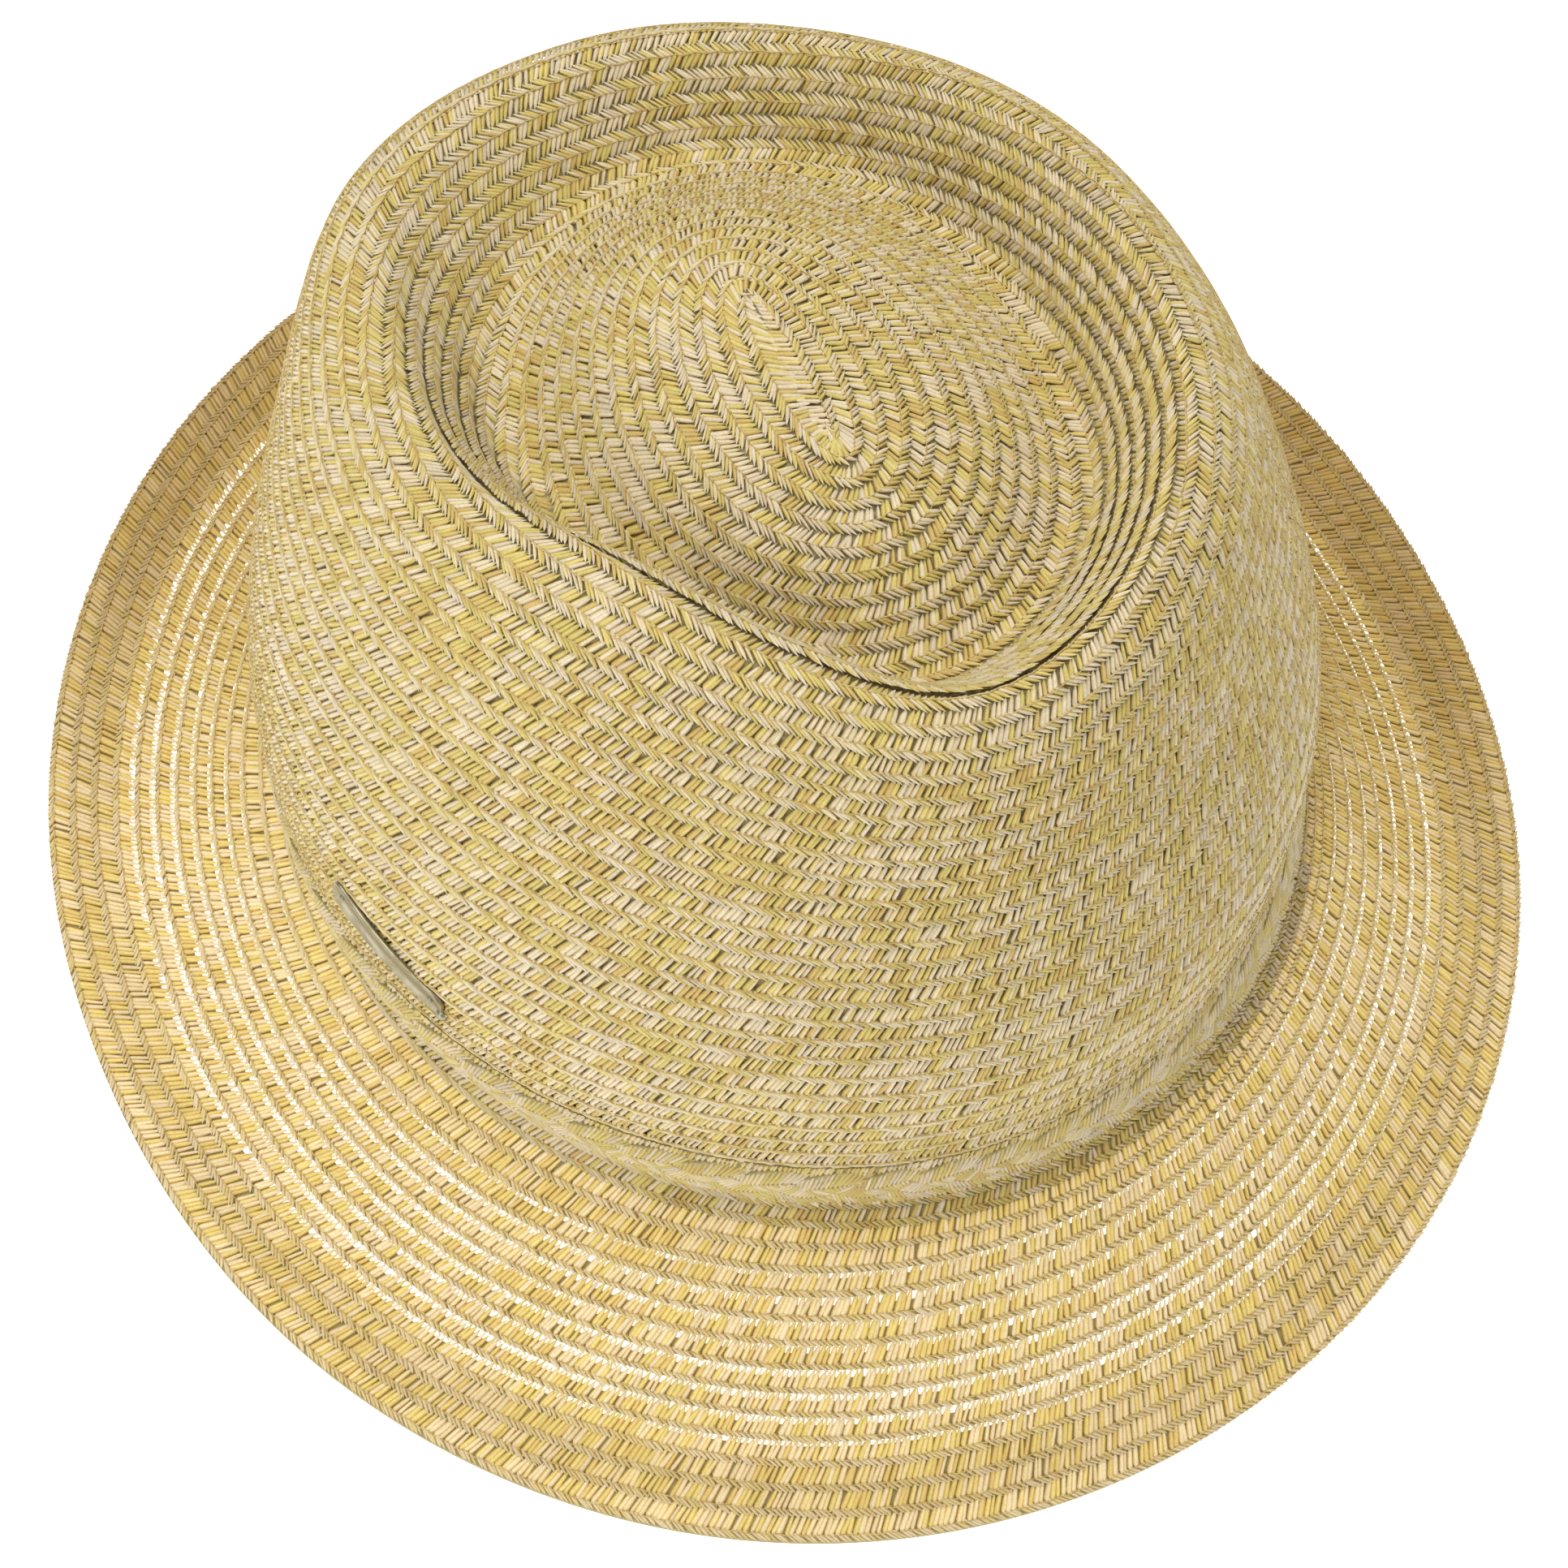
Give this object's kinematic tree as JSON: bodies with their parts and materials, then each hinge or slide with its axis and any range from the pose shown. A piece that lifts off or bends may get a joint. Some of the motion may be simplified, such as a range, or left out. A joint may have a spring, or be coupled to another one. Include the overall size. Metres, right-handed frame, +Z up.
{
  "type": "straw trilby",
  "caption": "Straw trilby with a pinched crown, a raised middle, a plaited band, a sloping brim with a doubled edge and a small metal side plate.",
  "frame": {"origin": "middle of the hat's overall box, on the floor that the brim stands on", "axes": "+Z up, -Y towards the front of the hat, +X towards the wearer's left"},
  "size_m": [0.2618, 0.2846, 0.1536],
  "materials": {
    "crown_straw": "sewn straw braid, matt",
    "brim_straw": "sewn straw braid, open, matt",
    "hem_straw": "sewn straw braid, matt",
    "plait_straw": "plaited straw braid, matt",
    "plate_metal": "brushed, aged"
  },
  "bodies": {
    "root": {"crown": "crown_straw", "brim": "brim_straw", "brim_hem": "hem_straw", "plait_band": "plait_straw", "side_plate": "plate_metal"}
  },
  "joints": []
}
